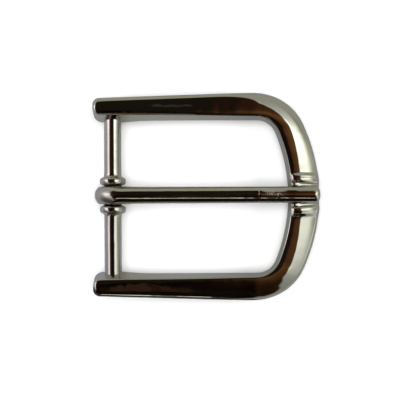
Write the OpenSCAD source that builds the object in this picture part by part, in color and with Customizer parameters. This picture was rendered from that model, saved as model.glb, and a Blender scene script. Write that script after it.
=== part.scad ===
// Prong buckle for a 35 mm strap: a cast D-shaped frame, a turned crossbar and a swinging prong.
// X runs from the crossbar to the front, Y across the strap, Z up from the table it lies on.

/* [Frame outline] */
// Length of the frame, from the ends of its arms to the front
frame_l = 53.54; // [50:0.02:58]
// Outer width across the ends of the arms
heel_w = 46.27; // [45:0.01:48]
// How far each arm's outer side leans outward on its way to the front
arm_flare = 2; // [0.5:0.1:2.2]
// Clear width between the arms
strap_gap = 36.1; // [35:0.1:37]
// Length from the ends of the arms to the crossbar's axis
heel_l = 4.42; // [4.2:0.02:6]
// Thickness of the front, from the window to the outer edge
front_t = 7.49; // [7:0.01:8.5]
// Radius of the front's outer edge
front_r_out = 40; // [36:0.5:44]
// Radius of the front's edge at the window
front_r_in = 40; // [36:0.5:46]
// Radius of each outer corner
corner_r_out = 12.6; // [11:0.1:14]
// Radius of each window corner
corner_r_in = 4.5; // [3.5:0.1:6]
// Rounding of an arm's end on its outer side
end_r_out = 1.5; // [1:0.1:1.8]
// Rounding of an arm's end on its inner side
end_r_in = 1.6; // [1.5:0.1:2]

/* [Frame section] */
// Rounding of the edge between the crown and the sloping inner side
edge_r = 0.45; // [0.3:0.05:0.6]
// Rounding along the underside
under_r = 0.5; // [0.3:0.05:0.8]
// How far the sides draw in toward the underside
draft = 0.2; // [0:0.05:0.4]
// Rounding of the crown where an arm ends
end_top_r = 1; // [0.8:0.1:1.2]
// Rounding of the crown's corners seen from above, where an arm ends
end_crest_r = 2; // [1.2:0.1:2.2]
// Rounding of the underside where an arm ends
end_under_r = 0.5; // [0.3:0.05:0.7]
// Swelling of each arm round the crossbar
boss_h = 0.45; // [0:0.05:0.6]
// Reach of that swelling on each side of the crossbar
boss_l = 7.5; // [5:0.5:9]
// How far the widest inner line dips round the crossbar
boss_drop = 1.8; // [0:0.1:2.2]

/* [Rest for the prong] */
// How far the prong, its two beads and its rest stand off the middle between the arms
prong_y = 0.4; // [-0.5:0.1:0.5]
// Height of the round collar on each side of the prong
collar_h = 0.45; // [0.3:0.05:0.6]
// Distance of a collar's middle from the prong's middle
collar_y = 3.7; // [3.6:0.01:3.8]
// Width of a collar
collar_w = 1.5; // [1.4:0.02:1.6]
// Height of the low ridge between a collar and the prong, at the window
ridge_h = 0.24; // [0.1:0.02:0.3]
// How much further than the front's crown that ridge falls on its way outward
ridge_fall = 0.4; // [0:0.05:0.5]
// How far the groove between the two runs in toward the prong on its way outward
groove_in = 0.45; // [0:0.05:0.5]
// Height of the slope on a collar's outer side
foot_h = 0.34; // [0.1:0.02:0.4]
// Width of that slope
foot_w = 0.78; // [0.5:0.02:0.9]
// Depth of the seat under the prong
seat_d = 0.66; // [0.6:0.02:0.7]
// Side clearance of the prong in its seat
seat_gap = 0.12; // [0.08:0.01:0.2]

/* [Crossbar] */
// Height of the crossbar's axis above the table
bar_z = 4; // [3.9:0.05:4.3]
// Radius of the crossbar
bar_r = 2.03; // [1.9:0.01:2.1]
// Radius of the two beads beside the prong
bead_r = 3.08; // [2.8:0.02:3.2]
// Width of a bead
bead_w = 1.8; // [1.6:0.05:2]
// Distance of a bead's middle from the prong's middle
bead_y = 3.4; // [3.35:0.01:3.6]
// Depth to which each end of the crossbar is let into its arm, from the clear width
bar_let_in = 2.5; // [2:0.1:3]
// Clearance round the crossbar in its sockets
socket_gap = 0.03; // [0.02:0.01:0.05]
// Room past each end of the crossbar in its socket
socket_end = 0.1; // [0.05:0.05:0.2]

/* [Prong] */
// Length by which the prong's tip reaches past the front's outer edge
prong_over = -0.06; // [-0.3:0.02:0.6]
// Reach of the loop behind and in front of its lowest line
loop_r = 3.9; // [3.8:0.05:4]
// How far that line lies behind the crossbar's axis
loop_shift = 0.5; // [0.4:0.05:0.55]
// Height of the loop's rearmost line above the table
loop_z = 3.4; // [3.2:0.1:4]
// Height of the loop's lowest line above the table
loop_low = 0.6; // [0.5:0.05:0.8]
// Length over which the prong's top rises from the loop's back to its crest
nose_l = 6; // [5:0.1:6.4]
// Width of the loop
loop_w = 4.2; // [4.1:0.05:4.3]
// Running clearance of the loop on the crossbar
loop_gap = 0.07; // [0.05:0.01:0.09]
// Rounding of the loop's outer edges seen from above
loop_edge_r = 1.3; // [1:0.1:1.5]
// Half width of the prong where it lies in its seat
prong_half_w = 1.92; // [1.86:0.01:1.96]
// Height of the rounded top of the prong's section
prong_dome = 1.75; // [1.4:0.05:1.8]
// Radius of the blunt tip seen from above
tip_r = 3.6; // [3:0.1:5]
// Rounding of the tip's upper edge
tip_top_r = 1.3; // [0.8:0.1:1.4]
// Rounding of the tip's lower edge
tip_under_r = 0.5; // [0.3:0.05:0.7]

/* [Hidden] */
$fn = 48;
nickel = [0.66, 0.65, 0.61];
nickel_dark = [0.58, 0.57, 0.54];

all_l = frame_l + max(0, prong_over);
heel_x = -all_l / 2;
front_x = heel_x + frame_l;
tip_x = front_x + prong_over;
window_x = front_x - front_t;
bar_x = heel_x + heel_l;
half_gap = strap_gap / 2;

// Both tables begin with where along the piece a row lies
AT = 0;

// One row for each place along half the frame, in the order of these columns:
// place (0 arm end, 1 corner begins, 2 corner ends, 3 middle of the front),
// crown height, height of the widest inner line, run of the sloping inner side,
// width of the soft break along the crown's inner edge, fall of the crown toward its crest line,
// width and height of the outer shoulder beyond that line, height of the underside
CROWN = 1;
WIDE = 2;
FLANK = 3;
EASE = 4;
FALL = 5;
SHOULDER_W = 6;
SHOULDER_H = 7;
UNDER = 8;
frame_rows = [
    [0.00, 8.60, 5.75, 1.08, 0.10, 0.00, 1.00, 1.05, 0.00],
    [0.10, 8.62, 5.78, 1.08, 0.10, 0.00, 1.00, 1.05, 0.00],
    [0.55, 8.00, 5.35, 1.04, 0.10, 0.02, 1.00, 1.08, 1.45],
    [0.88, 7.28, 4.90, 0.88, 0.10, 0.05, 1.00, 1.12, 1.20],
    [1.00, 7.02, 4.72, 0.80, 0.12, 0.06, 1.90, 1.65, 1.00],
    [1.12, 6.92, 4.66, 0.70, 0.14, 0.08, 2.65, 2.15, 0.80],
    [1.50, 6.64, 4.50, 0.50, 0.26, 0.12, 3.05, 2.35, 0.20],
    [2.00, 6.28, 4.30, 0.50, 0.30, 0.16, 3.20, 2.45, 0.00],
    [2.50, 6.00, 4.05, 0.55, 0.30, 0.16, 4.00, 2.60, 0.00],
    [3.00, 5.85, 3.90, 0.60, 0.30, 0.16, 4.45, 2.65, 0.00]
];

// One row for each place along the prong: distance from the crossbar's axis on a prong that reaches
// ROWS_REACH beyond it, crest height above that axis, thickness, half width
ROWS_REACH = 49;
CREST = 1;
THICK = 2;
HALF_W = 3;
prong_rows = [
    [0.0, 4.40, 3.20, 2.10],
    [3.5, 4.40, 2.70, 2.06],
    [7.0, 4.38, 2.50, 1.99],
    [20.0, 4.32, 2.35, 1.96],
    [33.0, 4.22, 2.20, prong_half_w],
    [34.6, 4.17, 2.16, prong_half_w],
    [40.4, 3.45, 2.05, prong_half_w],
    [41.2, 3.38, 2.03, prong_half_w],
    [43.0, 3.31, 1.98, prong_half_w],
    [44.0, 3.22, 1.97, prong_half_w],
    [47.4, 2.94, 1.90, prong_half_w - 0.02],
    [49.2, 2.80, 1.80, prong_half_w - 0.06]
];

// A smooth curve through one column of a table
function row_at(rows, s, i = 0) = (i >= len(rows) - 2 || s <= rows[i + 1][AT]) ? i : row_at(rows, s, i + 1);
function steepness(rows, i, k) =
    let (a = rows[max(i - 1, 0)], b = rows[min(i + 1, len(rows) - 1)])
    (b[k] - a[k]) / (b[AT] - a[AT]);
function smooth(rows, s, k) =
    let (
        i = row_at(rows, s),
        a = rows[i],
        b = rows[i + 1],
        h = b[AT] - a[AT],
        t = (s - a[AT]) / h,
        ma = steepness(rows, i, k) * h,
        mb = steepness(rows, i + 1, k) * h
    )
    (2 * t ^ 3 - 3 * t ^ 2 + 1) * a[k] + (t ^ 3 - 2 * t ^ 2 + t) * ma
    + (3 * t ^ 2 - 2 * t ^ 3) * b[k] + (t ^ 3 - t ^ 2) * mb;

// How far a rounded edge of radius r has drawn in at distance d from its end
function drawn_in(r, d) = d >= r ? 0 : r - sqrt(max(0, r ^ 2 - (r - d) ^ 2));

// A soft hump, 1 in its middle and 0 from distance 1 on
function hump(t) = abs(t) >= 1 ? 0 : (1 + cos(180 * t)) / 2;

// The outer outline: a straight arm, a corner arc and the front arc, each tangent to the next
flare_dir = [cos(arm_flare), sin(arm_flare)];
flare_out = [-sin(arm_flare), cos(arm_flare)];
heel_out = [heel_x, heel_w / 2];
front_c_out = [front_x - front_r_out, 0];
corner_0 = heel_out - corner_r_out * flare_out - front_c_out;
corner_run = -corner_0 * flare_dir
    + sqrt((corner_0 * flare_dir) ^ 2 - corner_0 * corner_0 + (front_r_out - corner_r_out) ^ 2);
corner_c_out = front_c_out + corner_0 + corner_run * flare_dir;
corner_end_out = atan2(corner_c_out[1], corner_c_out[0] - front_c_out[0]);

// The window's outline: the same three stretches, with its arm parallel to X
front_c_in = [window_x - front_r_in, 0];
corner_c_in = [
    front_c_in[0] + sqrt((front_r_in - corner_r_in) ^ 2 - (half_gap - corner_r_in) ^ 2),
    half_gap - corner_r_in
];
corner_end_in = atan2(corner_c_in[1], corner_c_in[0] - front_c_in[0]);

arm_end_out = corner_c_out + corner_r_out * flare_out;
arm_end_in = [corner_c_in[0], half_gap];
front_y_out = front_r_out * sin(corner_end_out);
front_y_in = front_r_in * sin(corner_end_in);

function on_arc(c, r, a) = c + r * [cos(a), sin(a)];
function on_front_out(y) = [front_c_out[0] + sqrt(front_r_out ^ 2 - y ^ 2), y];
function on_front_in(y) = [front_c_in[0] + sqrt(front_r_in ^ 2 - y ^ 2), y];

// The rest: a collar and a ridge stand up beside the prong, and the seat lies under it
seat_y = prong_half_w + seat_gap;
collar_end_y = collar_y + collar_w / 2;
foot_y = collar_end_y + foot_w;
groove_y = collar_y - collar_w / 2;
ridge_half = (groove_y - seat_y) / 2;
ridge_y = seat_y + ridge_half;
SEAT_WALL = 0.01;
function bead_lift(mid, half, h, y) = h * sqrt(max(0, 1 - ((y - mid) / half) ^ 2));
function rest_lift(y) =
    y < seat_y ? -seat_d
    : max(
        bead_lift(collar_y, collar_w / 2, collar_h, y),
        bead_lift(ridge_y, ridge_half, ridge_h, y),
        y < collar_y ? 0 : foot_h * min(1, (foot_y - y) / foot_w)
    );
function rest_fall(y) = y < seat_y ? 0 : bead_lift(ridge_y, ridge_half, ridge_fall, y);
// Where a line of the rest that starts at y at the window ends at the outer edge: the grooves run inward
function rest_out_y(y) =
    y <= seat_y || y >= collar_end_y ? y
    : y < groove_y ? seat_y + (y - seat_y) * (1 - groove_in / (groove_y - seat_y))
    : collar_end_y - (collar_end_y - y) * (1 + groove_in / collar_w);
rest_ys = concat(
    [for (t = [0 : 0.3 : 0.9]) foot_y - foot_w * t],
    [for (a = [12 : 26 : 168]) collar_y + collar_w / 2 * cos(a)],
    [for (a = [10 : 32 : 170]) ridge_y + ridge_half * cos(a)],
    [seat_y, seat_y - SEAT_WALL, seat_y / 2]
);

// Stations along half the frame, from an arm's end to the seat, in the order of these columns:
// place, point at the window, point on the outer outline, lift of the crown, further fall of the crown
// toward its crest line, distance from the arm's end.
// The rest stands off the frame's middle, toward one arm by as much as it stands away from the other
ST_PLACE = 0;
ST_IN = 1;
ST_OUT = 2;
ST_LIFT = 3;
ST_FALL = 4;
ST_FROM_END = 5;
END_STEPS = 6;
ARM_STEPS = 12;
CORNER_STEPS = 12;
FRONT_STEPS = 5;
END_PLACE = 0.1;
REST_PLACE = 2.6;
FRONT_PLACE = 3;
rest_from_y = 6.2;
arm_start_x = heel_x + end_r_in;
arm_run = arm_end_in[0] - arm_start_x;
function on_arm_out(x) = [x, heel_out[1] + (x - heel_x) * tan(arm_flare)];
function end_station(t) =
    let (d = end_r_in * (1 - cos(90 * t)))
    [END_PLACE * t, [heel_x + d, half_gap], on_arm_out(heel_x + d), 0, 0, d];
function arm_station(t) = [
    END_PLACE + (1 - END_PLACE) * t,
    [arm_start_x + arm_run * t, half_gap],
    on_arm_out(arm_start_x + (arm_end_out[0] - arm_start_x) * t),
    0,
    0,
    end_r_in + arm_run * t
];
function corner_station(t) = [
    1 + t,
    on_arc(corner_c_in, corner_r_in, 90 + (corner_end_in - 90) * t),
    on_arc(corner_c_out, corner_r_out, 90 + arm_flare + (corner_end_out - 90 - arm_flare) * t),
    0,
    0,
    all_l
];
function front_station(t) = [
    2 + (REST_PLACE - 2) * t,
    on_front_in(front_y_in + (rest_from_y - front_y_in) * t),
    on_front_out(front_y_out + (rest_from_y - front_y_out) * t),
    0,
    0,
    all_l
];
function rest_station(y, off) = [
    FRONT_PLACE - (FRONT_PLACE - REST_PLACE) * (y + off) / rest_from_y,
    on_front_in(y + off),
    on_front_out(rest_out_y(y) + off),
    rest_lift(y),
    rest_fall(y),
    all_l
];
function half_stations(off) = concat(
    [for (i = [0 : END_STEPS - 1]) end_station(i / END_STEPS)],
    [for (i = [0 : ARM_STEPS - 1]) arm_station(i / ARM_STEPS)],
    [for (i = [0 : CORNER_STEPS - 1]) corner_station(i / CORNER_STEPS)],
    [for (i = [0 : FRONT_STEPS]) front_station(i / FRONT_STEPS)],
    [for (y = rest_ys) rest_station(y, off)]
);

// One section across the frame: u from the window outward, z up, anticlockwise with u to the right.
// The shoulder turns through SHOULDER_TURN of an ellipse up to the crest line. CROWN_MIN is the narrowest
// crown left, CROWN_AT the shares of its width at which it has points, CROWN_RISE its slight doming and
// ARC_MID the middle of a quarter round; the soft break falls by EASE_SLOPE of its width, and a lifted
// section shows INNER_LIFT of its lift at the inner edge and OUTER_LIFT at the outer side
SHOULDER_STEPS = 8;
SHOULDER_TURN = 60;
EDGE_STEPS = 3;
CROWN_MIN = 0.15;
CROWN_RISE = 0.06;
CROWN_AT = [0.85, 0.4, 0];
EASE_SLOPE = 0.24;
ARC_MID = 1 - sin(45);
INNER_LIFT = 0.45;
OUTER_LIFT = 0.25;
WIDE_EASE = 0.1;
WIDE_ROUND = 0.2;
function frame_section(w, crown, wide, flank, ease, fall, sh_w, sh_h, under, lift) =
    let (
        edge = crown - EASE_SLOPE * ease,
        slope = atan2(edge - wide, flank),
        run = edge_r * tan(slope / 2),
        crown_from = flank + run + ease,
        shoulder = min(sh_w, w - crown_from - CROWN_MIN),
        edge_lift = lift > 0 ? INNER_LIFT * lift : lift,
        out_lift = OUTER_LIFT * max(lift, 0),
        crown_w = w - shoulder - crown_from,
        side_u = w - draft,
        mid = ARC_MID * under_r
    )
    concat(
        [[draft + under_r, under], [side_u - under_r, under]],
        [[side_u - mid, under + mid], [side_u, under + under_r]],
        [for (i = [0 : SHOULDER_STEPS])
            let (
                a = SHOULDER_TURN * i / SHOULDER_STEPS,
                in = (1 - cos(a)) / (1 - cos(SHOULDER_TURN)),
                up = sin(a) / sin(SHOULDER_TURN)
            )
            [w - shoulder * in + out_lift * (1 - in), crown - fall - sh_h + (sh_h + lift) * up]],
        [for (t = CROWN_AT)
            [crown_from + crown_w * t, crown + 4 * CROWN_RISE * t * (1 - t) - fall * t + lift]],
        [for (i = [0 : EDGE_STEPS]) let (a = slope * i / EDGE_STEPS)
            [flank + run - edge_r * sin(a), edge - edge_r * (1 - cos(a)) + edge_lift]],
        [[WIDE_EASE * flank, wide + WIDE_EASE * (edge - wide)], [0, wide - WIDE_ROUND]],
        [[draft, under + under_r], [draft + mid, under + mid]]
    );

function station_points(st) =
    let (
        s = st[ST_PLACE],
        d = st[ST_FROM_END],
        boss = hump((st[ST_IN][0] - bar_x) / boss_l),
        from = st[ST_IN] + [0, drawn_in(end_r_in, d) - boss_h * boss],
        to = st[ST_OUT] - [0, drawn_in(end_r_out, d)],
        w = norm(to - from),
        full_w = norm(st[ST_OUT] - st[ST_IN]) + boss_h * boss,
        e = (to - from) / w,
        k = w / full_w,
        pts = frame_section(
            w,
            smooth(frame_rows, s, CROWN) - drawn_in(end_top_r, d),
            smooth(frame_rows, s, WIDE) - boss_drop * boss,
            (smooth(frame_rows, s, FLANK) + boss_h * boss + drawn_in(end_crest_r, d)) * k,
            smooth(frame_rows, s, EASE) * k,
            smooth(frame_rows, s, FALL) + st[ST_FALL],
            (smooth(frame_rows, s, SHOULDER_W) + drawn_in(end_crest_r, d)) * k,
            smooth(frame_rows, s, SHOULDER_H) - drawn_in(end_top_r, d),
            max(0, smooth(frame_rows, s, UNDER)) + drawn_in(end_under_r, d),
            st[ST_LIFT]
        )
    )
    [for (p = pts) [from[0] + e[0] * p[0], from[1] + e[1] * p[0], p[1]]];

function half_rings(off) = [for (st = half_stations(off)) station_points(st)];
far_rings = half_rings(-prong_y);
frame_rings = concat(
    half_rings(prong_y),
    [for (i = [len(far_rings) - 1 : -1 : 0]) [for (p = far_rings[i]) [p[0], -p[1], p[2]]]]
);

// A closed skin over a row of rings, with a flat cap on the first and the last
module skin(rings) {
    n = len(rings[0]);
    m = len(rings);
    sides = [for (i = [0 : m - 2], j = [0 : n - 1]) let (a = i * n + j, b = i * n + (j + 1) % n) each [
        [a, b, b + n],
        [a, b + n, a + n]
    ]];
    caps = concat(
        [for (j = [1 : n - 2]) [0, j + 1, j]],
        [for (j = [1 : n - 2]) let (c = (m - 1) * n) [c, c + j, c + j + 1]]
    );
    polyhedron(points = [for (ring = rings, p = ring) p], faces = concat(sides, caps));
}

module along_bar(r, from_y, to_y) {
    translate([bar_x, from_y, bar_z])
        rotate([-90, 0, 0])
            cylinder(r = r, h = to_y - from_y);
}

module frame() {
    color(nickel)
        difference() {
            skin(frame_rings);
            for (side = [-1, 1])
                scale([1, side, 1])
                    along_bar(bar_r + socket_gap, half_gap / 2, half_gap + bar_let_in + socket_end);
        }
}

// The crossbar is turned from one rod, with a round bead on each side of the prong
module crossbar() {
    half = half_gap + bar_let_in;
    color(nickel_dark)
        translate([bar_x, 0, bar_z])
            rotate([-90, 0, 0])
                rotate_extrude()
                    union() {
                        translate([0, -half])
                            square([bar_r, 2 * half]);
                        for (side = [-1, 1])
                            translate([bead_r - bead_w / 2, prong_y + side * bead_y])
                                circle(r = bead_w / 2);
                    }
}

// The prong's sections, each across X. Its loop is round below up to LOOP_TURN in front of its lowest line,
// and from there the underside runs straight up to the shank. Its top rises in a quarter of an ellipse
loop_x = bar_x - loop_shift;
loop_drop = loop_z - loop_low;
loop_back_x = loop_x - loop_r;
LOOP_TURN = 67.5;
turn_x = loop_x + loop_r * sin(LOOP_TURN);
turn_z = loop_z - loop_drop * cos(LOOP_TURN);
turn_slope = loop_drop / loop_r * tan(LOOP_TURN);
nose_x = loop_back_x + nose_l;

function loop_under(x) =
    x < turn_x ? loop_z - loop_drop * sqrt(max(0, 1 - ((x - loop_x) / loop_r) ^ 2))
    : turn_z + (x - turn_x) * turn_slope;
stretch = (tip_x - bar_x) / ROWS_REACH;
function from_bar(x) = max(0, x - bar_x) / stretch;
function crest_at(x) = bar_z + smooth(prong_rows, from_bar(x), CREST);
function shank_under(x) = crest_at(x) - smooth(prong_rows, from_bar(x), THICK);
function tip_half(x) = sqrt(tip_r ^ 2 - max(0, tip_r - (tip_x - x)) ^ 2);

function prong_top(x) =
    x < nose_x ? loop_z + (crest_at(nose_x) - loop_z) * sqrt(max(0, 1 - ((nose_x - x) / nose_l) ^ 2))
    : crest_at(x) - drawn_in(tip_top_r, tip_x - x);
function prong_under(x) = min(shank_under(x), loop_under(x)) + drawn_in(tip_under_r, tip_x - x);
function prong_half(x) =
    let (full = x < bar_x ? loop_w / 2 : smooth(prong_rows, from_bar(x), HALF_W))
    min(full - drawn_in(loop_edge_r, x - loop_back_x), tip_half(x));

// Where the sections stand: angles round the loop, distances from the crossbar, distances from the tip
BACK_TURNS = [9 : 9.75 : 87];
UNDER_TURNS = [13.5 : 13.5 : LOOP_TURN];
SHANK_AT = [4.3, 4.8, 5.3, 6.1, 8, 14, 20, 26, 30, 33, 34.5, 36, 38, 40, 42, 44, 46, 47.2];
TIP_AT = [1.3, 1.0, 0.75, 0.5, 0.3, 0.15, 0.05];
prong_xs = concat(
    [for (a = BACK_TURNS) loop_x - loop_r * cos(a)],
    [for (a = UNDER_TURNS) loop_x + loop_r * sin(a)],
    [for (d = SHANK_AT) bar_x + d * stretch],
    [for (d = TIP_AT) tip_x - d]
);

// A section: a domed top over DOME_STEPS, taking at most DOME_SHARE of the thickness, and two lower edges
// rounded by LOW_R, at most LOW_SHARE of the thickness
DOME_STEPS = 10;
DOME_SHARE = 0.6;
LOW_R = 0.4;
LOW_SHARE = 0.25;
function prong_ring(x) =
    let (
        top = prong_top(x),
        under = prong_under(x),
        half = prong_half(x),
        dome = min(prong_dome, DOME_SHARE * (top - under)),
        low = min(LOW_R, LOW_SHARE * (top - under))
    )
    concat(
        [for (i = [0 : DOME_STEPS]) let (a = 180 * i / DOME_STEPS)
            [x, half * cos(a), top - dome + dome * sin(a)]],
        [[x, -half, under + low], [x, -half + low, under], [x, half - low, under], [x, half, under + low]]
    );

module prong() {
    color(nickel)
        translate([0, prong_y, 0])
            difference() {
                skin([for (x = prong_xs) prong_ring(x)]);
                along_bar(bar_r + loop_gap, -loop_w, loop_w);
            }
}

frame();
crossbar();
prong();
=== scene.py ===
import math

import bmesh
import bpy
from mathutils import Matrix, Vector


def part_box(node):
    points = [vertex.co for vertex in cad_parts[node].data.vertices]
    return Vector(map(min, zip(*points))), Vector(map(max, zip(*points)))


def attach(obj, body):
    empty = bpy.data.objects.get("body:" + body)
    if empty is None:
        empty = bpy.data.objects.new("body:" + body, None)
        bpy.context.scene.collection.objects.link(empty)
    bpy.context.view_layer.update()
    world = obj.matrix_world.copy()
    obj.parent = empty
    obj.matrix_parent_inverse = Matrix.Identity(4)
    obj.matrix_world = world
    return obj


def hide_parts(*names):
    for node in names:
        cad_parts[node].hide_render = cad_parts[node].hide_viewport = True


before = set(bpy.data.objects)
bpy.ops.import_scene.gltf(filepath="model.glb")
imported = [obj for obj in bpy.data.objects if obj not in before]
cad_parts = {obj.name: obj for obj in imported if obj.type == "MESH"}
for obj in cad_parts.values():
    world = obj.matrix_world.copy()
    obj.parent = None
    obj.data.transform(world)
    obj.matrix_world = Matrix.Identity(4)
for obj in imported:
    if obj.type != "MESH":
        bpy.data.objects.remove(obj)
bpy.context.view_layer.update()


# The frame is one zinc casting, polished and nickel plated. Two thick arms flare a little toward a bowed
# front, with a broad rounded shoulder outside and a sloping side toward the window. The prong's rest is
# cast on the front: a shallow seat, and on each side of it a low ridge, a round collar and a soft foot.
MM = 0.001
frame_length = 53.54
heel_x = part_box("frame")[0].x / MM
front_x = heel_x + frame_length
bar_x = sum(corner.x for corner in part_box("crossbar")) / 2 / MM

# The outline seen from above, in millimetres, and the roundings of an arm's end
half_gap, heel_half_w = 18.05, 23.135
arm_flare = math.radians(2.0)
front_thick = 7.49
window_x = front_x - front_thick
outer_front_r, window_front_r = 40, 40
outer_corner_r, window_corner_r = 12.6, 4.5
end_outer_r, end_inner_r, end_crest_r, end_top_r, end_under_r = 1.5, 1.6, 2, 1, 0.5

# The swelling round the crossbar, and the section: its roundings, the draft of its sides, the lip under
# its widest line, and the crown's rise between its edges and its least width
boss_height, boss_reach, boss_drop = 0.45, 7.5, 1.8
edge_r, under_r, draft, lip, crown_dome, least_crown = 0.45, 0.5, 0.2, 0.2, 0.06, 0.15
shoulder_turn, shoulder_steps, edge_steps = math.pi / 3, 8, 3
# Shares: fall of the soft break for its width, lift of the rest that the inner edge takes and by which
# the shoulder spreads, place of the foot of the sloping side, middle of the underside's rounding
ease_fall, edge_share, spread_share, foot_share, under_share = 0.24, 0.45, 0.25, 0.1, 0.3

# The rest for the prong, measured from the prong's middle. Its lines start at the window, at rest_ys
prong_y, prong_half_w, seat_gap = 0.4, 1.92, 0.12
seat_y, seat_depth, seat_wall = prong_half_w + seat_gap, 0.66, 0.01
collar_y, collar_half, collar_height = 3.7, 0.75, 0.45
collar_foot_y = collar_y + collar_half
groove_y, groove_in = collar_y - collar_half, 0.45
ridge_half, ridge_height, ridge_fall = (groove_y - seat_y) / 2, 0.24, 0.4
foot_height, foot_width = 0.34, 0.78
rest_ys = [collar_foot_y + foot_width * (1 - share) for share in (0, 0.3, 0.6, 0.9)]
rest_ys += [collar_y + collar_half * math.cos(math.radians(turn)) for turn in range(12, 169, 26)]
rest_ys += [seat_y + ridge_half * (1 + math.cos(math.radians(turn))) for turn in range(10, 171, 32)]
rest_ys += [seat_y, seat_y - seat_wall, seat_y / 2]

end_place, corner_place, front_place, rest_place, middle_place = 0.1, 1, 2, 2.6, 3
end_steps, arm_steps, corner_steps, front_steps = 6, 12, 12, 5
rest_from_y = 6.2
# Columns: place (0 arm end, 1 corner begins, 2 corner ends, 3 middle of the front), crown height, height
# of the widest inner line, run of the sloping side, width of the soft break along the crown's inner edge,
# fall of the crown toward its crest line, width and height of the shoulder beyond that line, height of
# the underside
frame_rows = [
    (0.00, 8.60, 5.75, 1.08, 0.10, 0.00, 1.00, 1.05, 0.00),
    (0.10, 8.62, 5.78, 1.08, 0.10, 0.00, 1.00, 1.05, 0.00),
    (0.55, 8.00, 5.35, 1.04, 0.10, 0.02, 1.00, 1.08, 1.45),
    (0.88, 7.28, 4.90, 0.88, 0.10, 0.05, 1.00, 1.12, 1.20),
    (1.00, 7.02, 4.72, 0.80, 0.12, 0.06, 1.90, 1.65, 1.00),
    (1.12, 6.92, 4.66, 0.70, 0.14, 0.08, 2.65, 2.15, 0.80),
    (1.50, 6.64, 4.50, 0.50, 0.26, 0.12, 3.05, 2.35, 0.20),
    (2.00, 6.28, 4.30, 0.50, 0.30, 0.16, 3.20, 2.45, 0.00),
    (2.50, 6.00, 4.05, 0.55, 0.30, 0.16, 4.00, 2.60, 0.00),
    (3.00, 5.85, 3.90, 0.60, 0.30, 0.16, 4.45, 2.65, 0.00),
]


def smooth_row(rows, at):
    """The row of a table at one place, on a smooth curve through its rows."""
    i = 0
    while i < len(rows) - 2 and at > rows[i + 1][0]:
        i += 1
    before, a, b, after = rows[max(i - 1, 0)], rows[i], rows[i + 1], rows[min(i + 2, len(rows) - 1)]
    h = b[0] - a[0]
    t = (at - a[0]) / h
    row = []
    for column in range(1, len(a)):
        slope_a = (b[column] - before[column]) / (b[0] - before[0]) * h
        slope_b = (after[column] - a[column]) / (after[0] - a[0]) * h
        row.append(
            (2 * t**3 - 3 * t**2 + 1) * a[column]
            + (t**3 - 2 * t**2 + t) * slope_a
            + (3 * t**2 - 2 * t**3) * b[column]
            + (t**3 - t**2) * slope_b
        )
    return row


def drawn_in(radius, distance):
    """How far a rounded edge has drawn in at a distance from its end."""
    return 0 if distance >= radius else radius - math.sqrt(max(0, radius**2 - (radius - distance) ** 2))


def round_lift(y, middle, half, height):
    """Height of a round moulding at y, from its middle, its half width and its own height."""
    return height * math.sqrt(max(0, 1 - ((y - middle) / half) ** 2))


def rest_lift(y):
    """Height of the rest above the front's crown, at a distance from the prong's middle."""
    if y < seat_y:
        return -seat_depth
    collar = round_lift(y, collar_y, collar_half, collar_height)
    ridge = round_lift(y, seat_y + ridge_half, ridge_half, ridge_height)
    foot = 0 if y < collar_y else foot_height * min(1, (collar_foot_y + foot_width - y) / foot_width)
    return max(collar, ridge, foot)


def rest_fall(y):
    """How much further than the crown the rest falls outward, at a distance from the prong's middle."""
    return 0 if y < seat_y else round_lift(y, seat_y + ridge_half, ridge_half, ridge_fall)


def rest_outer_y(y):
    """Where a line of the rest that starts at y at the window ends on the outer edge."""
    if y <= seat_y or y >= collar_foot_y:
        return y
    if y < groove_y:
        return seat_y + (y - seat_y) * (1 - groove_in / (groove_y - seat_y))
    return collar_foot_y - (collar_foot_y - y) * (1 + groove_in / (2 * collar_half))


def on_arc(centre, radius, angle):
    """A point on an arc of the outline, seen from above."""
    return centre + radius * Vector((math.cos(angle), math.sin(angle)))


# The outlines seen from above: a straight arm, a corner arc and the front arc, each tangent to the next
along_arm = Vector((math.cos(arm_flare), math.sin(arm_flare)))
out_of_arm = Vector((-math.sin(arm_flare), math.cos(arm_flare)))
outer_front_c = Vector((front_x - outer_front_r, 0))
reach = Vector((heel_x, heel_half_w)) - outer_corner_r * out_of_arm - outer_front_c
run = -reach.dot(along_arm) + math.sqrt(
    reach.dot(along_arm) ** 2 - reach.length_squared + (outer_front_r - outer_corner_r) ** 2
)
outer_corner_c = outer_front_c + reach + run * along_arm
outer_turn = math.atan2(outer_corner_c.y, outer_corner_c.x - outer_front_c.x)
outer_arm_end = outer_corner_c + outer_corner_r * out_of_arm

window_front_c = Vector((window_x - window_front_r, 0))
window_corner_y = half_gap - window_corner_r
window_corner_c = Vector((
    window_front_c.x + math.sqrt((window_front_r - window_corner_r) ** 2 - window_corner_y**2),
    window_corner_y,
))
window_turn = math.atan2(window_corner_y, window_corner_c.x - window_front_c.x)


def on_front(y):
    """The points of the window and of the outer edge on the bowed front, level with y."""
    window = Vector((window_front_c.x + math.sqrt(window_front_r**2 - y**2), y))
    outer = Vector((outer_front_c.x + math.sqrt(outer_front_r**2 - y**2), y))
    return window, outer


def swelling(x):
    """How far an arm has swollen round the crossbar, from 0 to 1, at a place along it."""
    distance = abs(x - bar_x) / boss_reach
    return 0 if distance >= 1 else (1 + math.cos(math.pi * distance)) / 2


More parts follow.
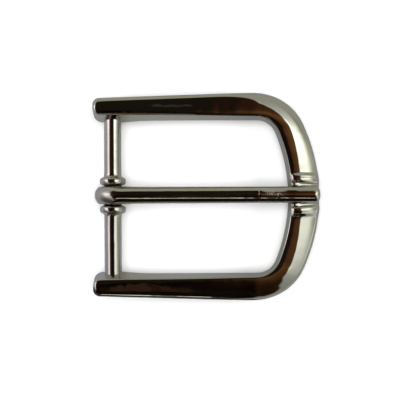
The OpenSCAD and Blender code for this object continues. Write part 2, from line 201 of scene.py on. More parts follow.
def frame_section(place, window, outer, lift=0.0, more_fall=0.0, from_end=math.inf):
    """The corners of one section across the casting, from its underside outward and over the crown."""
    crown, widest, slope_run, ease, fall, shoulder_w, shoulder_h, under = smooth_row(frame_rows, place)
    boss = swelling(window.x)
    start = window + Vector((0, drawn_in(end_inner_r, from_end) - boss_height * boss))
    end = outer - Vector((0, drawn_in(end_outer_r, from_end)))
    width = (end - start).length
    narrowed = width / ((outer - window).length + boss_height * boss)
    crown -= drawn_in(end_top_r, from_end)
    shoulder_h -= drawn_in(end_top_r, from_end)
    widest -= boss_drop * boss
    slope_run = (slope_run + boss_height * boss + drawn_in(end_crest_r, from_end)) * narrowed
    ease *= narrowed
    fall += more_fall
    under = max(0, under) + drawn_in(end_under_r, from_end)

    edge = crown - ease_fall * ease
    slope = math.atan2(edge - widest, slope_run)
    edge_from = slope_run + edge_r * math.tan(slope / 2)
    crown_from = edge_from + ease
    shoulder_w = (shoulder_w + drawn_in(end_crest_r, from_end)) * narrowed
    shoulder_w = min(shoulder_w, width - crown_from - least_crown)
    crown_width = width - shoulder_w - crown_from
    side = width - draft
    under_mid = under_share * under_r

    points = [(draft + under_r, under), (side - under_r, under)]
    points += [(side - under_mid, under + under_mid), (side, under + under_r)]
    for i in range(shoulder_steps + 1):
        turn = shoulder_turn * i / shoulder_steps
        inward = (1 - math.cos(turn)) / (1 - math.cos(shoulder_turn))
        upward = math.sin(turn) / math.sin(shoulder_turn)
        points.append((
            width - shoulder_w * inward + spread_share * max(lift, 0) * (1 - inward),
            crown - fall - shoulder_h + (shoulder_h + lift) * upward,
        ))
    for share in (0.85, 0.4, 0):
        dome = 4 * crown_dome * share * (1 - share)
        points.append((crown_from + crown_width * share, crown + dome - fall * share + lift))
    edge_lift = edge_share * lift if lift > 0 else lift
    for i in range(edge_steps + 1):
        turn = slope * i / edge_steps
        drop = edge_r * (1 - math.cos(turn))
        points.append((edge_from - edge_r * math.sin(turn), edge - drop + edge_lift))
    points += [(foot_share * slope_run, widest + foot_share * (edge - widest)), (0, widest - lip)]
    points += [(draft, under + under_r), (draft + under_mid, under + under_mid)]
    across = (end - start) / width
    return [Vector((*(start + u * across), z)) * MM for u, z in points]


def half_sections(offset):
    """The sections of half the casting, from the arm's end to the seat, for a rest off the middle."""
    sections = []
    # The arm's rounded end, and then the straight arm
    for i in range(end_steps):
        from_end = end_inner_r * (1 - math.cos(math.pi / 2 * i / end_steps))
        x = heel_x + from_end
        outer = Vector((x, heel_half_w + from_end * math.tan(arm_flare)))
        place = end_place * i / end_steps
        sections.append(frame_section(place, Vector((x, half_gap)), outer, from_end=from_end))
    arm_start_x = heel_x + end_inner_r
    for i in range(arm_steps):
        share = i / arm_steps
        x = arm_start_x + (outer_arm_end.x - arm_start_x) * share
        outer = Vector((x, heel_half_w + (x - heel_x) * math.tan(arm_flare)))
        window = Vector((arm_start_x + (window_corner_c.x - arm_start_x) * share, half_gap))
        place = end_place + (corner_place - end_place) * share
        sections.append(frame_section(place, window, outer, from_end=x - heel_x))
    # The corner, the front as far as the rest, and the rest
    for i in range(corner_steps):
        share = i / corner_steps
        window_angle = math.pi / 2 + (window_turn - math.pi / 2) * share
        outer_angle = math.pi / 2 + arm_flare + (outer_turn - math.pi / 2 - arm_flare) * share
        window = on_arc(window_corner_c, window_corner_r, window_angle)
        outer = on_arc(outer_corner_c, outer_corner_r, outer_angle)
        sections.append(frame_section(corner_place + share, window, outer))
    for i in range(front_steps + 1):
        share = i / front_steps
        window_y = window_front_r * math.sin(window_turn) * (1 - share) + rest_from_y * share
        outer_y = outer_front_r * math.sin(outer_turn) * (1 - share) + rest_from_y * share
        place = front_place + (rest_place - front_place) * share
        sections.append(frame_section(place, on_front(window_y)[0], on_front(outer_y)[1]))
    for y in rest_ys:
        place = middle_place - (middle_place - rest_place) * abs(y + offset) / rest_from_y
        window, outer = on_front(y + offset)[0], on_front(rest_outer_y(y) + offset)[1]
        sections.append(frame_section(place, window, outer, lift=rest_lift(y), more_fall=rest_fall(y)))
    return sections


frame_sections = half_sections(prong_y)
for section in reversed(half_sections(-prong_y)):
    frame_sections.append([Vector((corner.x, -corner.y, corner.z)) for corner in section])


def select_only(piece):
    """Selects one piece alone, so that an operator acts on nothing else."""
    bpy.ops.object.select_all(action="DESELECT")
    piece.select_set(True)
    bpy.context.view_layer.objects.active = piece


def draw_out(name, sections):
    """A bar drawn out section by section: a face with a corner for each point of a section is extruded
    again and again, and its corners are moved to the next section each time."""
    bpy.ops.object.select_all(action="DESELECT")
    bpy.ops.mesh.primitive_circle_add(vertices=len(sections[0]), radius=MM, fill_type="NGON")
    piece = bpy.context.object
    piece.name = piece.data.name = name
    bpy.ops.object.mode_set(mode="EDIT")
    mesh = bmesh.from_edit_mesh(piece.data)
    corner = mesh.verts.layers.int.new("corner")
    for i, vert in enumerate(mesh.verts):
        vert[corner] = i
        vert.co = sections[0][i]
    for section in sections[1:]:
        bpy.ops.mesh.extrude_region_move()
        mesh = bmesh.from_edit_mesh(piece.data)
        corner = mesh.verts.layers.int["corner"]
        for vert in mesh.verts:
            if vert.select:
                vert.co = section[vert[corner]]
    bmesh.update_edit_mesh(piece.data)
    bpy.ops.object.mode_set(mode="OBJECT")
    return piece


def finish_piece(piece, levels):
    """Rounds a closed piece with subdivision, turns its faces outward and shades it smooth."""
    select_only(piece)
    bpy.ops.object.modifier_add(type="SUBSURF")
    piece.modifiers[-1].levels = piece.modifiers[-1].render_levels = levels
    bpy.ops.object.modifier_apply(modifier=piece.modifiers[-1].name)
    bpy.ops.object.mode_set(mode="EDIT")
    bpy.ops.mesh.select_all(action="SELECT")
    bpy.ops.mesh.normals_make_consistent(inside=False)
    bpy.ops.object.mode_set(mode="OBJECT")
    bpy.ops.object.shade_smooth()


casting = draw_out("frame_casting", frame_sections)
finish_piece(casting, 2)

# The frame's finish, which the other two pieces share. Buffing leaves the nickel a little wavy and a
# little hazy in patches, with fine marks along the piece, and it yellows slightly where it is thin.
wave_scale, haze_scale, thin_scale = 260, 120, 90
thin_strength, wave_depth = 0.6, 0.05
# The stretch of each pattern's height over which it shows more and more
marks_from_to, haze_from_to, thin_from_to = (0.3, 0.7), (0.48, 0.72), (0.42, 0.7)


def finish_sockets(group, takes, gives):
    """Gives a finish its inlets and outlets, and returns the nodes that stand for them."""
    for name, kind in takes:
        group.interface.new_socket(name, in_out="INPUT", socket_type=kind)
    for name, kind in gives:
        group.interface.new_socket(name, in_out="OUTPUT", socket_type=kind)
    return group.nodes.new("NodeGroupInput"), group.nodes.new("NodeGroupOutput")


def finish_set(group, value, socket):
    """Sets a socket to a plain value, or links it to the outlet that gives the value."""
    if isinstance(value, bpy.types.NodeSocket):
        group.links.new(value, socket)
    else:
        socket.default_value = value


def finish_math(group, operation, *values):
    """The result of one step of arithmetic."""
    node = group.nodes.new("ShaderNodeMath")
    node.operation = operation
    for value, socket in zip(values, node.inputs):
        finish_set(group, value, socket)
    return node.outputs[0]


def finish_mix(group, blend, share, first, second):
    """Two colours blended, by the share of the second one."""
    node = group.nodes.new("ShaderNodeMix")
    node.data_type = "RGBA"
    node.blend_type = blend
    for value, socket in ((share, node.inputs[0]), (first, node.inputs[6]), (second, node.inputs[7])):
        finish_set(group, value, socket)
    return node.outputs[2]


def finish_noise(group, place, scale, detail):
    """The height of a soft random pattern at a place, from 0 to 1."""
    node = group.nodes.new("ShaderNodeTexNoise")
    node.inputs["Scale"].default_value = scale
    node.inputs["Detail"].default_value = detail
    group.links.new(place, node.inputs["Vector"])
    return node.outputs["Fac"]


def finish_range(group, value, low, high):
    """Spreads the values between low and high over 0 to 1."""
    node = group.nodes.new("ShaderNodeMapRange")
    node.inputs["From Min"].default_value = low
    node.inputs["From Max"].default_value = high
    group.links.new(value, node.inputs["Value"])
    return node.outputs["Result"]


def along_the_grain(group, place, grain):
    """A place stretched along each axis, so that a noise there draws out into marks."""
    node = group.nodes.new("ShaderNodeVectorMath")
    node.operation = "MULTIPLY"
    group.links.new(place, node.inputs[0])
    group.links.new(grain, node.inputs[1])
    return node.outputs[0]


buffing = bpy.data.node_groups.new("nickel_buffing", "ShaderNodeTree")
takes, gives = finish_sockets(
    buffing,
    [
        ("Place", "NodeSocketVector"),
        ("Grain", "NodeSocketVector"),
        ("Polish", "NodeSocketFloat"),
        ("Haze", "NodeSocketFloat"),
        ("Waves", "NodeSocketFloat"),
        ("Marks", "NodeSocketFloat"),
    ],
    [("Roughness", "NodeSocketFloat"), ("Height", "NodeSocketFloat")],
)
grain_place = along_the_grain(buffing, takes.outputs["Place"], takes.outputs["Grain"])
waves = finish_noise(buffing, takes.outputs["Place"], wave_scale, 1)
marks = finish_range(buffing, finish_noise(buffing, grain_place, 1, 4), *marks_from_to)
haze = finish_noise(buffing, takes.outputs["Place"], haze_scale, 3)
haze = finish_range(buffing, haze, *haze_from_to)
haze = finish_math(buffing, "MULTIPLY", haze, finish_math(buffing, "ADD", 0.5, marks))
haze = finish_math(buffing, "MULTIPLY", haze, takes.outputs["Haze"])
buffing.links.new(finish_math(buffing, "ADD", takes.outputs["Polish"], haze), gives.inputs["Roughness"])
waves = finish_math(buffing, "MULTIPLY", waves, takes.outputs["Waves"])
marks = finish_math(buffing, "MULTIPLY", marks, takes.outputs["Marks"])
buffing.links.new(finish_math(buffing, "ADD", waves, marks), gives.inputs["Height"])

plating = bpy.data.node_groups.new("nickel_plating", "ShaderNodeTree")
takes, gives = finish_sockets(
    plating,
    [
        ("Place", "NodeSocketVector"),
        ("Nickel", "NodeSocketColor"),
        ("Thin", "NodeSocketColor"),
        ("Patches", "NodeSocketFloat"),
    ],
    [("Color", "NodeSocketColor")],
)
thin = finish_noise(plating, takes.outputs["Place"], thin_scale, 4)
thin = finish_range(plating, thin, *thin_from_to)
thin = finish_math(plating, "MULTIPLY", thin, takes.outputs["Patches"])
tone = finish_mix(plating, "MIX", thin, takes.outputs["Nickel"], takes.outputs["Thin"])
plating.links.new(tone, gives.inputs["Color"])


def nickel_finish(name, nickel, thin, grain, polish, haze, waves, marks):
    """A polished nickel finish: colours where the plating is full and thin, stretch of the marks along
    each axis in 1/m, roughness where polished and added by haze, and depth shares of the waves and the
    marks."""
    material = bpy.data.materials.new(name)
    material.use_nodes = True
    tree = material.node_tree
    shader = tree.nodes["Principled BSDF"]
    shader.inputs["Metallic"].default_value = 1
    place = tree.nodes.new("ShaderNodeTexCoord").outputs["Object"]
    color = tree.nodes.new("ShaderNodeGroup")
    color.node_tree = plating
    color.inputs["Nickel"].default_value = (*nickel, 1)
    color.inputs["Thin"].default_value = (*thin, 1)
    color.inputs["Patches"].default_value = thin_strength
    tree.links.new(place, color.inputs["Place"])
    tree.links.new(color.outputs["Color"], shader.inputs["Base Color"])
    surface = tree.nodes.new("ShaderNodeGroup")
    surface.node_tree = buffing
    surface.name = "surface"
    surface.inputs["Grain"].default_value = grain
    surface.inputs["Polish"].default_value = polish
    surface.inputs["Haze"].default_value = haze
    surface.inputs["Waves"].default_value = waves
    surface.inputs["Marks"].default_value = marks
    tree.links.new(place, surface.inputs["Place"])
    tree.links.new(surface.outputs["Roughness"], shader.inputs["Roughness"])
    bump = tree.nodes.new("ShaderNodeBump")
    bump.inputs["Distance"].default_value = wave_depth * MM
    tree.links.new(surface.outputs["Height"], bump.inputs["Height"])
    tree.links.new(bump.outputs["Normal"], shader.inputs["Normal"])
    return material


frame_nickel = nickel_finish(
    "frame_polished_nickel",
    nickel=(0.605, 0.59, 0.555),
    thin=(0.56, 0.525, 0.46),
    grain=(350, 350, 1500),
    polish=0.035,
    haze=0.06,
    waves=1.0,
    marks=0.05,
)
casting.data.materials.append(frame_nickel)
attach(casting, "frame_body")
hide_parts("frame")


# The crossbar is turned from one steel rod and nickel plated. A round bead stands on each side of the
# prong, with a soft cove toward the arm and a short neck toward the prong. Its ends are let into blind
# sockets in the arms.
bar_z = sum(corner.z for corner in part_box("crossbar")) / 2 / MM
bar_r, bar_sides = 2.03, 48
bar_let_in, bar_end_bevel, bar_end_ring = 2.5, 0.3, 1
bar_end_y = half_gap + bar_let_in

# Columns: distance from the prong's middle, radius
bead_profile = [
    (2.10, 2.03),
    (2.16, 2.06),
    (2.30, 2.20),
    (2.42, 2.32),
    (2.50, 2.55),
    (2.58, 2.78),
    (2.72, 2.97),
    (2.95, 3.07),
    (3.35, 3.08),
    (3.75, 3.06),
    (3.98, 2.95),
    (4.14, 2.72),
    (4.26, 2.40),
    (4.40, 2.18),
    (4.60, 2.06),
    (4.85, 2.03),
]


def bar_section(y, radius):
    """The corners of one section across the crossbar, a ring round its axis."""
    turns = [math.tau * i / bar_sides for i in range(bar_sides)]
    return [Vector((bar_x + radius * math.cos(t), y, bar_z + radius * math.sin(t))) * MM for t in turns]


bar_end = [
    (bar_end_y, bar_r - bar_end_bevel),
    (bar_end_y - bar_end_bevel, bar_r),
    (bar_end_y - bar_end_ring, bar_r),
]
bar_profile = [(-y, radius) for y, radius in bar_end]
bar_profile += [(prong_y - y, radius) for y, radius in reversed(bead_profile)]
bar_profile += [(prong_y + y, radius) for y, radius in bead_profile]
bar_profile += reversed(bar_end)
crossbar = draw_out("crossbar_turned", [bar_section(y, radius) for y, radius in bar_profile])
finish_piece(crossbar, 1)
crossbar_nickel = nickel_finish(
    "crossbar_polished_nickel",
    nickel=(0.62, 0.605, 0.58),
    thin=(0.56, 0.52, 0.45),
    grain=(600, 2500, 600),
    polish=0.04,
    haze=0.08,
    waves=1.2,
    marks=0.08,
)
crossbar.data.materials.append(crossbar_nickel)
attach(crossbar, "frame_body")
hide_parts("crossbar")


# The prong is one length of steel, rounded on top and flat below, nickel plated. It is bent round the
# crossbar until its end butts under the shank, and its front is set down into the rest and cut to a blunt
# tip.
prong_short, loop_gap = 0.06, 0.07
tip_x = front_x - prong_short
bore_r = bar_r + loop_gap
loop_reach, loop_back, loop_z, loop_low, loop_half_w = 3.9, 0.5, 3.4, 0.6, 2.1
nose_length = 6
tip_r, tip_top_r, tip_under_r = 3.6, 1.3, 0.5
loop_bevel, shank_bevel, bevel_share = 0.2, 0.4, 0.25
butt_dome, back_dome, shank_dome, dome_share, dome_steps = 0.5, 1.5, 1.75, 0.6, 10
prong_reach = 49
# Columns: distance from the crossbar's axis, where the tip is at prong_reach, crest height above the
# axis, thickness, half width
prong_rows = [
    (0.0, 4.40, 3.20, 2.10),
    (3.5, 4.40, 2.70, 2.06),
    (7.0, 4.38, 2.50, 1.99),
    (20.0, 4.32, 2.35, 1.96),
    (33.0, 4.22, 2.20, prong_half_w),
    (34.6, 4.17, 2.16, prong_half_w),
    (40.4, 3.45, 2.05, prong_half_w),
    (41.2, 3.38, 2.03, prong_half_w),
    (43.0, 3.31, 1.98, prong_half_w),
    (44.0, 3.22, 1.97, prong_half_w),
    (47.4, 2.94, 1.90, prong_half_w - 0.02),
    (49.2, 2.80, 1.80, prong_half_w - 0.06),
]


def strip_section(inner, outer, half, dome, bevel):
    """One section of the strip from an inner to an outer point in XZ, domed toward the outer one."""
    out = (outer - inner).normalized()
    thick = (outer - inner).length
    corners = []
    for i in range(dome_steps + 1):
        turn = math.pi * i / dome_steps
        corners.append((half * math.cos(turn), thick - dome + dome * math.sin(turn)))
    corners += [(-half, bevel), (-half + bevel, 0), (half - bevel, 0), (half, bevel)]
    section = []
    for y, up in corners:
        point = inner + out * up
        section.append(Vector((point.x, prong_y + y, point.y)) * MM)
    return section


def toward(degrees):
    """A direction from the crossbar's axis in XZ."""
    return Vector((math.cos(math.radians(degrees)), math.sin(math.radians(degrees))))


def ellipse_point(away, centre, reach, rise):
    """Where a ray from the crossbar's axis meets an ellipse, from its centre and half lengths in XZ."""
    square = (away.x / reach) ** 2 + (away.y / rise) ** 2
    along = away.x * centre.x / reach**2 + away.y * centre.y / rise**2
    rest = (centre.x / reach) ** 2 + (centre.y / rise) ** 2 - 1
    return away * (along + math.sqrt(along**2 - square * rest)) / square


def loop_outer(away):
    """The point of the loop's outer round in one direction from the crossbar's axis. Its lower half is a
    flat ellipse, and its top rises more slowly, over the length of the nose."""
    low = ellipse_point(away, Vector((-loop_back, loop_z - bar_z)), loop_reach, loop_z - loop_low)
    top = ellipse_point(away, Vector((nose_from_bar, loop_z - bar_z)), nose_length, nose_rise)
    return top if low.y > loop_z - bar_z else low


axis = Vector((bar_x, bar_z))
nose_from_bar = nose_length - loop_reach - loop_back
nose_rise = smooth_row(prong_rows, nose_from_bar)[0] + bar_z - loop_z

# The end that butts under the shank. Columns: direction of the inner point in degrees, place of the outer
# point from the axis along X and Z
butt_rows = [
    (52, 4.72, 1.62),
    (48, 4.78, 1.32),
    (34, 4.40, 0.58),
    (14, 4.00, -0.11),
    (-8, 3.55, -0.89),
    (-28, 3.10, -1.67),
]
prong_sections = []
for turn, outer_x, outer_z in butt_rows:
    inner, outer = axis + toward(turn) * bore_r, axis + Vector((outer_x, outer_z))
    prong_sections.append(strip_section(inner, outer, loop_half_w, butt_dome, loop_bevel))
# The loop, from below the crossbar round its back to its top
for turn in range(-46, -271, -14):
    inner, outer = axis + toward(turn) * bore_r, axis + loop_outer(toward(turn))
    dome = butt_dome + (back_dome - butt_dome) * min(1, max(0, (-turn - 90) / 90))
    prong_sections.append(strip_section(inner, outer, loop_half_w, dome, loop_bevel))
# The shank, at distances like those of prong_rows, and then the tip, at distances from its end
stretch = (tip_x - bar_x) / prong_reach
shank_at = [0.35, 0.8, 1.3, 2.0, 3.0, 4.6, 5.6, *range(8, 27, 3), 28, 30, 31.5, *range(33, 48)]
for at in shank_at:
    crest, thick, half = smooth_row(prong_rows, at)
    under = crest - thick
    if at < nose_from_bar:
        behind = (nose_from_bar - at * stretch) / nose_length
        crest = loop_z - bar_z + nose_rise * math.sqrt(1 - behind**2)
    if at * stretch < bore_r:
        under = max(under, math.sqrt(bore_r**2 - (at * stretch) ** 2))
    inner, outer = axis + Vector((at * stretch, under)), axis + Vector((at * stretch, crest))
    dome = min(shank_dome, dome_share * (crest - under))
    prong_sections.append(strip_section(inner, outer, half, dome, shank_bevel))
for from_tip in (1.3, 1.0, 0.75, 0.5, 0.3, 0.15, 0.05):
    x = tip_x - from_tip - bar_x
    crest, thick, half = smooth_row(prong_rows, x / stretch)
    under = crest - thick + drawn_in(tip_under_r, from_tip)
    crest -= drawn_in(tip_top_r, from_tip)
    half = min(half, math.sqrt(tip_r**2 - (tip_r - from_tip) ** 2))
    dome = min(shank_dome, dome_share * (crest - under))
    bevel = min(shank_bevel, bevel_share * (crest - under))
    inner, outer = axis + Vector((x, under)), axis + Vector((x, crest))
    prong_sections.append(strip_section(inner, outer, half, dome, bevel))
prong = draw_out("prong_bent", prong_sections)
finish_piece(prong, 2)

# The prong's finish is worn to satin at the back of the loop, where the strap's fold rubs it. A fine line
# marks its bend, and it is scuffed just before the rest.
satin_from_x, satin_to_x, satin_roughness = heel_x + 3.57, heel_x + 1.37, 0.3
bend_x, bend_half_length, bend_depth = front_x - 14.57, 0.3, 0.8
scuff_x, scuff_half_length, scuff_roughness, scuff_depth = front_x - 10.97, 3.2, 0.2, 0.16
scuff_scale, scuff_from_to = 2400, (0.5, 0.7)


def finish_near(group, x, middle, half_length):
    """1 at one place along a piece, falling to 0 at a distance from it on each side."""
    distance = finish_math(group, "ABSOLUTE", finish_math(group, "SUBTRACT", x, middle * MM))
    return finish_range(group, distance, half_length * MM, 0)


prong_nickel = nickel_finish(
    "prong_polished_nickel",
    nickel=(0.60, 0.585, 0.55),
    thin=(0.56, 0.52, 0.45),
    grain=(250, 1800, 1800),
    polish=0.04,
    haze=0.08,
    waves=1.0,
    marks=0.06,
)
tree = prong_nickel.node_tree
surface = tree.nodes["surface"]
on_prong = tree.nodes.new("ShaderNodeTexCoord").outputs["Object"]
place = tree.nodes.new("ShaderNodeSeparateXYZ")
tree.links.new(on_prong, place.inputs[0])
scuffs = finish_noise(tree, on_prong, scuff_scale, 4)
scuffed = finish_near(tree, place.outputs["X"], scuff_x, scuff_half_length)
scuffed = finish_math(tree, "MULTIPLY", scuffed, finish_range(tree, scuffs, *scuff_from_to))
bend = finish_near(tree, place.outputs["X"], bend_x, bend_half_length)
bend = finish_math(tree, "MULTIPLY", finish_math(tree, "MULTIPLY", bend, scuffs), -bend_depth)
height = finish_math(tree, "ADD", surface.outputs["Height"], bend)
height = finish_math(tree, "ADD", height, finish_math(tree, "MULTIPLY", scuffed, scuff_depth))
tree.links.new(height, tree.nodes["Bump"].inputs["Height"])
satin = finish_range(tree, place.outputs["X"], satin_from_x * MM, satin_to_x * MM)
satin = finish_math(tree, "MULTIPLY", satin, satin_roughness)
worn = finish_math(tree, "ADD", satin, finish_math(tree, "MULTIPLY", scuffed, scuff_roughness))
worn = finish_math(tree, "ADD", surface.outputs["Roughness"], worn)
tree.links.new(worn, tree.nodes["Principled BSDF"].inputs["Roughness"])
prong.data.materials.append(prong_nickel)
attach(prong, "prong_body")
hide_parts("prong")


# The floor is a sheet of matt white paper that the buckle lies on. The metal mirrors it in a painted
# mid-gray shade, with a darker painted shade beside the arm on the viewer's side. Far from the buckle,
# where the lamps no longer reach, the paper is lit evenly up to the horizon.
paper_size, paper_roughness = 4, 0.9
white, far_light, shade_gray = (0.94, 0.94, 0.94, 1), (0.9, 0.9, 0.9, 1), (0.02, 0.02, 0.015, 1)
far_from, far_to = 0.15, 0.6
shade_end_x, shade_end_soft, shade_soft = 14, 2, 0.4
# The painted mid-gray shade that the metal mirrors, a little lavender behind the crossbar and olive in
# front of it.
# Columns: place from the crossbar's axis, colour
painted_mirror_shades = [
    (-3, (0.320, 0.322, 0.340)),
    (2, (0.300, 0.305, 0.255)),
    (7, (0.286, 0.293, 0.290)),
    (26, (0.265, 0.275, 0.280)),
]


def color_ramp(tree, value, low, high, stops):
    """Colours, or plain shares, over a value between low and high, from a table of values and colours."""
    ramp = tree.nodes.new("ShaderNodeValToRGB")
    elements = ramp.color_ramp.elements
    while len(elements) < len(stops):
        elements.new(0.5)
    for element, (at, color) in zip(elements, stops):
        element.position = (at - low) / (high - low)
        element.color = (*color, 1) if isinstance(color, tuple) else (color, color, color, 1)
    tree.links.new(finish_range(tree, value, low, high), ramp.inputs["Fac"])
    return ramp.outputs["Color"]


bpy.ops.object.select_all(action="DESELECT")
bpy.ops.mesh.primitive_plane_add(size=paper_size)
floor = bpy.context.object
floor.name = "floor"
paper = bpy.data.materials.new("floor_paper")
paper.use_nodes = True
tree = paper.node_tree
on_floor = tree.nodes.new("ShaderNodeTexCoord").outputs["Object"]
place = tree.nodes.new("ShaderNodeSeparateXYZ")
tree.links.new(on_floor, place.inputs[0])
far = tree.nodes.new("ShaderNodeVectorMath")
far.operation = "LENGTH"
tree.links.new(on_floor, far.inputs[0])
white_paper = tree.nodes["Principled BSDF"]
white_paper.inputs["Base Color"].default_value = white
white_paper.inputs["Roughness"].default_value = paper_roughness
white_paper.inputs["Emission Color"].default_value = far_light
far_share = finish_range(tree, far.outputs["Value"], far_from, far_to)
tree.links.new(far_share, white_paper.inputs["Emission Strength"])

# Where the painted shade lies: its mid gray changes along the buckle, and the darker painted shade lies
# just beside the arm on the viewer's side, short of the front.
from_bar = finish_math(tree, "SUBTRACT", finish_math(tree, "DIVIDE", place.outputs["X"], MM), bar_x)
painted_mirror_shade = color_ramp(tree, from_bar, painted_mirror_shades[0][0], painted_mirror_shades[-1][0], painted_mirror_shades)
from_arm = finish_math(tree, "MULTIPLY", place.outputs["X"], math.tan(arm_flare))
from_arm = finish_math(tree, "SUBTRACT", (heel_x * math.tan(arm_flare) - heel_half_w) * MM, from_arm)
from_arm = finish_math(tree, "SUBTRACT", from_arm, place.outputs["Y"])
beside_arm = finish_range(tree, place.outputs["X"], (shade_end_x + shade_end_soft) * MM, shade_end_x * MM)
shade = finish_math(tree, "MULTIPLY", finish_range(tree, from_arm, 0, shade_soft * MM), beside_arm)
# Paper in painted shade, which only mirrored rays see.
painted_shade_paper = tree.nodes.new("ShaderNodeBsdfPrincipled")
painted_shade_paper.inputs["Roughness"].default_value = paper_roughness
painted_mirror_color = finish_mix(tree, "MIX", shade, painted_mirror_shade, shade_gray)
tree.links.new(painted_mirror_color, painted_shade_paper.inputs["Base Color"])

# Mirrored rays see the paper in painted shade, and all other rays see it white.
light_path = tree.nodes.new("ShaderNodeLightPath")
mirrored = tree.nodes.new("ShaderNodeMixShader")
tree.links.new(light_path.outputs["Is Glossy Ray"], mirrored.inputs["Fac"])
tree.links.new(white_paper.outputs[0], mirrored.inputs[1])
tree.links.new(painted_shade_paper.outputs[0], mirrored.inputs[2])
tree.links.new(mirrored.outputs[0], tree.nodes["Material Output"].inputs["Surface"])
floor.data.materials.append(paper)


# A black card hangs upright just outside the arm on the viewer's side, a little above it. Only the metal
# sees it: it keeps the low gap of light off the prong and leaves it to the arm's outer edge.
card_y, card_low, card_high, card_from_x, card_to_x = -25.4, 9.4, 26, -33, 13
card_color = (0.008, 0.006, 0.005, 1)
bpy.ops.object.select_all(action="DESELECT")
bpy.ops.mesh.primitive_plane_add(size=1)
card = bpy.context.object
card.name = "black_card"
for vert in card.data.vertices:
    x = card_from_x + (vert.co.x + 0.5) * (card_to_x - card_from_x)
    z = card_low + (vert.co.y + 0.5) * (card_high - card_low)
    vert.co = Vector((x, card_y, z)) * MM
black_paper = bpy.data.materials.new("card_black")
black_paper.use_nodes = True
black = black_paper.node_tree.nodes["Principled BSDF"]
black.inputs["Base Color"].default_value = card_color
black.inputs["Roughness"].default_value = 1
black.inputs["Specular IOR Level"].default_value = 0
card.data.materials.append(black_paper)
card.visible_camera = card.visible_diffuse = card.visible_shadow = False


# The room round the buckle, as the polished metal shows it: dark overhead, a tall window on the left, a
# wide soft light on the right, a dim wall behind, and a dark side toward the viewer with two thin bright
# gaps, one of them low down.
white_light, dim_light = (0.80, 0.80, 0.80, 1), (0.16, 0.16, 0.16, 1)
# Columns of both tables: angle from straight up in degrees, colour
room_left_to_right = [
    (-90, (0.440, 0.435, 0.465)),
    (-74, (0.560, 0.540, 0.570)),
    (-62, (1.480, 1.420, 1.450)),
    (-43, (1.440, 1.330, 1.300)),
    (-39, (0.100, 0.040, 0.028)),
    (-26, (0.050, 0.020, 0.014)),
    (-12, (0.018, 0.010, 0.010)),
    (0, (0.008, 0.006, 0.006)),
    (6.5, (0.020, 0.010, 0.006)),
    (10, (0.100, 0.042, 0.017)),
    (20, (0.150, 0.065, 0.019)),
    (23, (1.640, 1.740, 1.560)),
    (44, (1.600, 1.660, 1.500)),
    (52, (1.200, 1.250, 1.120)),
    (58, (0.800, 0.830, 0.720)),
    (67, (0.450, 0.465, 0.370)),
    (90, (0.400, 0.415, 0.330)),
]
room_near_to_far = [
    (-90, (0.040, 0.040, 0.035)),
    (-84, (0.010, 0.010, 0.006)),
    (-36.5, (0.010, 0.010, 0.006)),
    (-35, (1.600, 1.530, 1.340)),
    (-33, (1.600, 1.530, 1.340)),
    (-31.5, (0.012, 0.010, 0.005)),
    (-26, (0.012, 0.010, 0.005)),
    (-13, (0.014, 0.010, 0.006)),
    (-9, (0.036, 0.019, 0.010)),
    (-2, (0.040, 0.021, 0.011)),
    (0, (0.012, 0.009, 0.006)),
    (42, (0.016, 0.012, 0.006)),
    (46, (0.400, 0.395, 0.300)),
    (90, (0.430, 0.425, 0.330)),
]
# How far the window and the soft light reach round. Columns: direction from square to their side toward
# the far wall in degrees, share of their brightness
side_reach = [
    (-90, 0.08),
    (-60, 0.18),
    (-43, 0.20),
    (-34, 0.26),
    (-26, 0.37),
    (-21, 0.42),
    (-16, 0.56),
    (-9, 0.72),
    (4, 0.88),
    (10, 1.26),
    (16, 1.22),
    (21, 0.74),
    (27, 0.50),
    (35, 0.42),
    (43, 0.34),
    (60, 0.25),
    (90, 0.20),
]
# How the soft light's inner edge slants. Columns: angle from straight up toward the far wall, angle by
# which the edge lies further out, both in degrees
edge_slant = [
    (-75, 44),
    (-44, 20),
    (-30, 15),
    (-20, 9),
    (-10, 4),
    (0, 0),
    (26, 0),
    (32, -2.5),
    (60, -6),
]
# The gap that lies low on the near side, and a short streak of light overhead, a little toward the far
# wall. Columns of both: angle from straight up toward the far wall in degrees, colour
low_gap = [
    (-75, (0.000, 0.000, 0.000)),
    (-73, (1.300, 1.250, 1.080)),
    (-66, (1.300, 1.250, 1.080)),
    (-64, (0.000, 0.000, 0.000)),
]
streak = [
    (6.9, (0.000, 0.000, 0.000)),
    (7.3, (0.200, 0.195, 0.160)),
    (8.0, (0.200, 0.195, 0.160)),
    (8.4, (0.000, 0.000, 0.000)),
]
# How much of the gaps and the streak shows. Columns of all three: direction from square to the near side
# toward the right in degrees, share
gap_reach = [
    (-92, 1.0),
    (-90, 0.0),
    (-20, 0.0),
    (-12, 1.0),
    (7, 1.0),
    (9, 0.1),
    (17, 0.1),
    (21, 0.9),
    (26, 0.9),
    (32, 0.0),
    (90, 0.0),
    (92, 1.0),
]
low_gap_reach = [
    (-8, 0.0),
    (-7, 1.0),
    (-1.9, 1.0),
    (-1.2, 0.1),
    (0.7, 0.1),
    (1.3, 0.9),
    (2.7, 1.0),
    (3.5, 0.0),
]
streak_reach = [
    (140, 0.0),
    (148, 1.0),
    (164, 1.0),
    (168, 0.0),
]
# The dark ceiling's brown patches. Columns: height of the pattern, colour
patch_scale = 5
brown_patches = [
    (0, (0.000, 0.000, 0.000)),
    (0.5, (0.000, 0.000, 0.000)),
    (0.622, (0.012, 0.006, 0.004)),
    (0.756, (0.050, 0.023, 0.014)),
]
world = bpy.data.worlds.new("room")
bpy.context.scene.world = world
world.use_nodes = True
tree = world.node_tree
tree.nodes.clear()


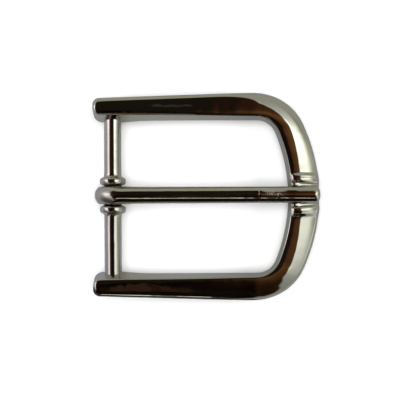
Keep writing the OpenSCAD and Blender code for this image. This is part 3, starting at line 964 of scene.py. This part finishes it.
def room_angle(part, against):
    """The direction of one part of the ray against another, in degrees from -180 to 180."""
    return finish_math(tree, "MULTIPLY", finish_math(tree, "ARCTAN2", part, against), math.degrees(1))


def room_ramp(angle, stops):
    """What a table of the room gives over one of its angles."""
    return color_ramp(tree, angle, -180, 180, stops)


def room_light(share, color):
    """A light of the room, of which a share shows."""
    return finish_mix(tree, "MULTIPLY", 1.0, share, color)


direction = tree.nodes.new("ShaderNodeTexCoord").outputs["Generated"]
ray = tree.nodes.new("ShaderNodeSeparateXYZ")
tree.links.new(direction, ray.inputs[0])
across = room_angle(ray.outputs["X"], ray.outputs["Z"])
away = room_angle(ray.outputs["Y"], ray.outputs["Z"])
round_side = room_angle(ray.outputs["Y"], finish_math(tree, "ABSOLUTE", ray.outputs["X"]))
round_near = room_angle(ray.outputs["X"], finish_math(tree, "MULTIPLY", ray.outputs["Y"], -1))
# A ramp gives nothing below 0, so the slant goes through it as a share of a turn, from 0.5
slant = room_ramp(away, [(angle, 0.5 + further / 360) for angle, further in edge_slant])
slant = finish_math(tree, "MULTIPLY", finish_math(tree, "SUBTRACT", slant, 0.5), 360)
slanted = finish_math(tree, "SUBTRACT", across, slant)
sides = room_light(room_ramp(round_side, side_reach), room_ramp(slanted, room_left_to_right))
ends = room_light(room_ramp(round_near, gap_reach), room_ramp(away, room_near_to_far))
brown = color_ramp(tree, finish_noise(tree, direction, patch_scale, 2), 0, 1, brown_patches)
low = room_light(room_ramp(round_near, low_gap_reach), room_ramp(away, low_gap))
overhead = room_light(room_ramp(round_near, streak_reach), room_ramp(away, streak))
room_color = sides
for more in (ends, brown, low, overhead):
    room_color = finish_mix(tree, "LIGHTEN", 1.0, room_color, more)

room = tree.nodes.new("ShaderNodeBackground")
tree.links.new(room_color, room.inputs["Color"])
pale = tree.nodes.new("ShaderNodeBackground")
pale.inputs["Color"].default_value = white_light
dim = tree.nodes.new("ShaderNodeBackground")
dim.inputs["Color"].default_value = dim_light
light_path = tree.nodes.new("ShaderNodeLightPath")
for_paper = tree.nodes.new("ShaderNodeMixShader")
tree.links.new(light_path.outputs["Is Camera Ray"], for_paper.inputs["Fac"])
tree.links.new(dim.outputs[0], for_paper.inputs[1])
tree.links.new(pale.outputs[0], for_paper.inputs[2])
seen = tree.nodes.new("ShaderNodeMixShader")
tree.links.new(light_path.outputs["Is Glossy Ray"], seen.inputs["Fac"])
tree.links.new(for_paper.outputs[0], seen.inputs[1])
tree.links.new(room.outputs[0], seen.inputs[2])
output = tree.nodes.new("ShaderNodeOutputWorld")
tree.links.new(seen.outputs[0], output.inputs["Surface"])


# Three soft lights fall on the paper: one overhead, and a wide, low one beyond each end of the buckle. They
# leave a narrow soft shade along its edges. The metal doesn't mirror them, because the room has their
# place already.

# Columns: name, place in metres, width, height, power in watts
lamps = [
    ("overhead", (-0.03, 0.0, 0.45), 0.34, 0.34, 1.85),
    ("low_window", (-0.60, 0.0, 0.25), 0.3, 0.9, 2.7),
    ("low_front", (0.75, 0.05, 0.36), 0.9, 0.4, 5.9),
]
for name, place, width, height, power in lamps:
    lamp_data = bpy.data.lights.new(name, "AREA")
    lamp_data.shape = "RECTANGLE"
    lamp_data.size = width
    lamp_data.size_y = height
    lamp_data.energy = power
    lamp = bpy.data.objects.new(name, lamp_data)
    bpy.context.collection.objects.link(lamp)
    lamp.location = place
    lamp.rotation_euler = Vector(place).to_track_quat("Z", "Y").to_euler()
    lamp.visible_glossy = False


# The camera looks straight down on the buckle, as in the photo, from a small way behind its middle and
# turned a quarter of a degree.
camera_place, camera_turn, camera_lens = (-1.69, -0.78, 230), -0.25, 85.74
camera_data = bpy.data.cameras.new("camera")
camera = bpy.data.objects.new("camera", camera_data)
bpy.context.collection.objects.link(camera)
camera.location = Vector(camera_place) * MM
camera.rotation_euler = (0, 0, math.radians(camera_turn))
camera_data.sensor_width = 36
camera_data.lens = camera_lens
camera_data.clip_start = 0.01
bpy.context.scene.camera = camera
bpy.context.scene.view_settings.view_transform = "Standard"
